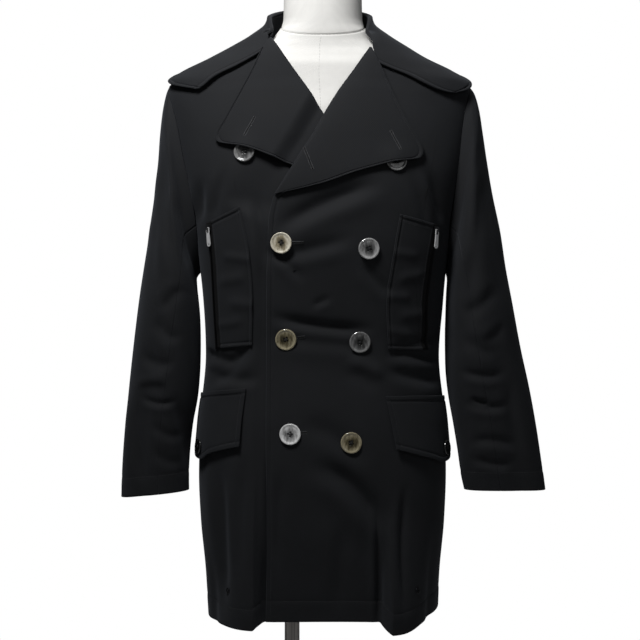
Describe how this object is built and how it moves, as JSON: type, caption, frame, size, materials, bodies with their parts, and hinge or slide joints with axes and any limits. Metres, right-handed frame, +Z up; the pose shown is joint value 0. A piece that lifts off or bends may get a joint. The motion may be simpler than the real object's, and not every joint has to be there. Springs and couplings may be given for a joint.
{
  "type": "pea coat on a dress form",
  "caption": "long black double-breasted pea coat with wide lapels, zipped chest pockets and buttoned flap pockets, worn on a limbless linen dress form on a round-footed pole",
  "frame": {"origin": "on the floor under the middle of the coat; the foot of the stand rests on the floor", "axes": "+Z up; the coat's front faces -Y; +X is the wearer's left"},
  "size_m": [0.621, 0.38, 1.55],
  "materials": {
    "twill": "matt twill",
    "zip_tape": "matt woven tape",
    "nickel": "satin",
    "brown_horn": "polished, mottled brown",
    "dark_horn": "polished, mottled grey",
    "black_brass": "satin black",
    "linen": "matt woven linen",
    "chrome": "polished",
    "steel": "satin"
  },
  "bodies": {
    "coat_on_form": {"left_front": "twill", "right_front": "twill", "left_back": "twill", "right_back": "twill", "left_lapel": "twill", "right_lapel": "twill", "collar_stand": "twill", "collar_leaf": "twill", "left_upper_sleeve": "twill", "left_under_sleeve": "twill", "right_upper_sleeve": "twill", "right_under_sleeve": "twill", "left_chest_pocket": "twill", "right_chest_pocket": "twill", "left_flap": "twill", "right_flap": "twill", "left_zip_tape": "zip_tape", "right_zip_tape": "zip_tape", "left_zip_slider": "nickel", "right_zip_slider": "nickel", "button_right_1": "brown_horn", "button_right_2": "brown_horn", "button_right_3": "brown_horn", "button_right_4": "brown_horn", "button_left_1": "dark_horn", "button_left_2": "dark_horn", "button_left_3": "dark_horn", "button_left_4": "dark_horn", "left_flap_button": "dark_horn", "right_flap_button": "dark_horn", "left_eyelet": "black_brass", "right_eyelet": "black_brass", "dress_form": "linen", "stand_pole": "chrome", "stand_base": "steel"},
    "left_pull": {"left_zip_pull": "nickel"},
    "right_pull": {"right_zip_pull": "nickel"}
  },
  "joints": [
    {"name": "left_pull_swing", "type": "hinge", "parent": "coat_on_form", "child": "left_pull", "pos_m": [0.16457, -0.08133, 1.17947], "axis": [-0.7317, -0.6816, 0], "range_deg": [0, 150]},
    {"name": "right_pull_swing", "type": "hinge", "parent": "coat_on_form", "child": "right_pull", "pos_m": [-0.16526, -0.07927, 1.18238], "axis": [-0.714, 0.7002, 0], "range_deg": [0, 150]}
  ]
}
